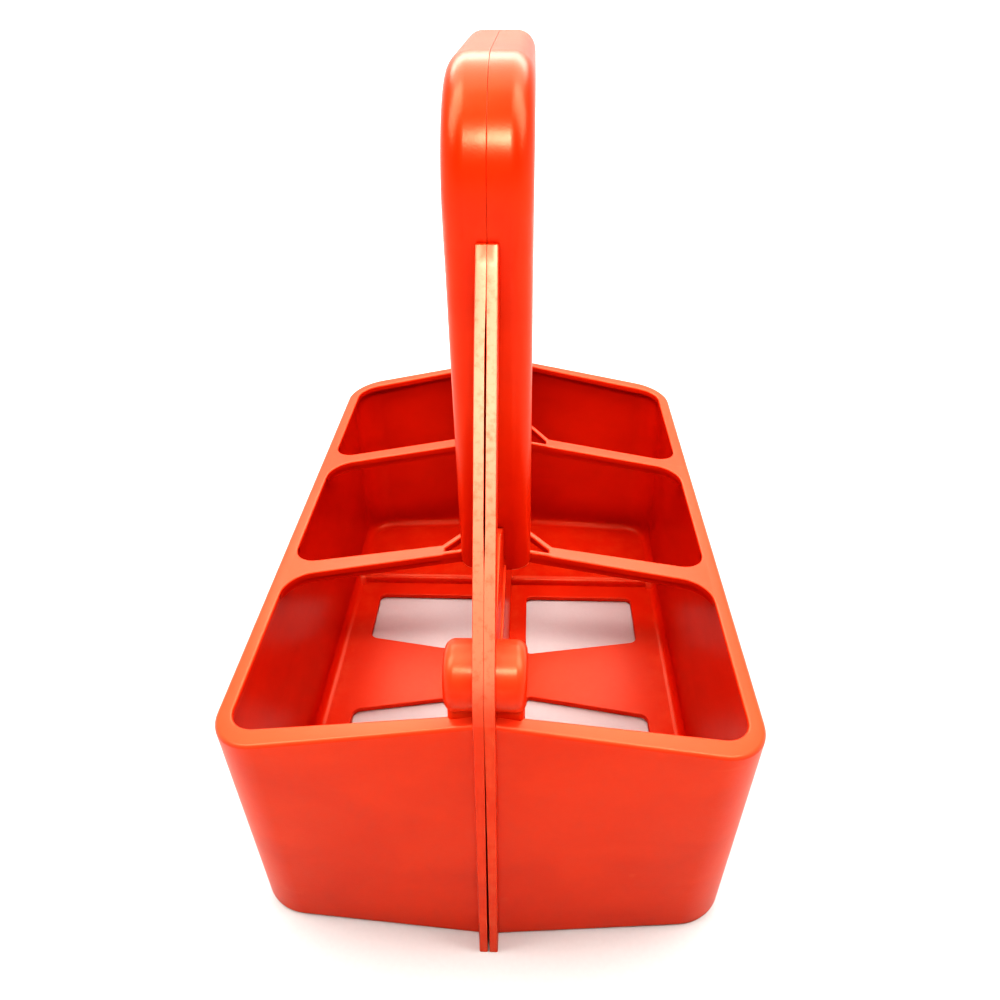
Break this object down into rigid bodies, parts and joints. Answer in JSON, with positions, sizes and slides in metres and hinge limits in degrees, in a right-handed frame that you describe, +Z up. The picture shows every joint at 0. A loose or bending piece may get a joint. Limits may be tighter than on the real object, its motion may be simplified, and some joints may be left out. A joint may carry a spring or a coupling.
{
  "type": "six pack carrier",
  "caption": "Open plastic bottle carrier made of two mirror-image half trays joined back to back, with divider bars, a pierced floor and a tall arched handle.",
  "frame": {"origin": "on the ground, at the centre of the carrier, in the slit between its two halves", "axes": "+X across the carrier towards the right half, +Y along the carrier and its handle, +Z up"},
  "size_m": [0.1598, 0.252, 0.254],
  "materials": {
    "moulding": "satin moulded polypropylene",
    "plug": "plain moulded"
  },
  "bodies": {
    "left_half": {"left_tray": "moulding", "left_rim": "moulding", "left_front_bar": "moulding", "left_rear_bar": "moulding", "left_web": "moulding", "left_grip": "moulding", "left_front_boss": "moulding", "left_rear_boss": "moulding", "front_stud": "plug", "rear_stud": "plug", "front_leg_pin": "plug", "rear_leg_pin": "plug", "front_top_pin": "plug", "rear_top_pin": "plug"},
    "right_half": {"right_tray": "moulding", "right_rim": "moulding", "right_front_bar": "moulding", "right_rear_bar": "moulding", "right_web": "moulding", "right_grip": "moulding", "right_front_boss": "moulding", "right_rear_boss": "moulding"}
  },
  "joints": [
    {"name": "pull_apart", "type": "slide", "parent": "left_half", "child": "right_half", "axis": [1, 0, 0], "range_m": [0, 0.06]}
  ]
}
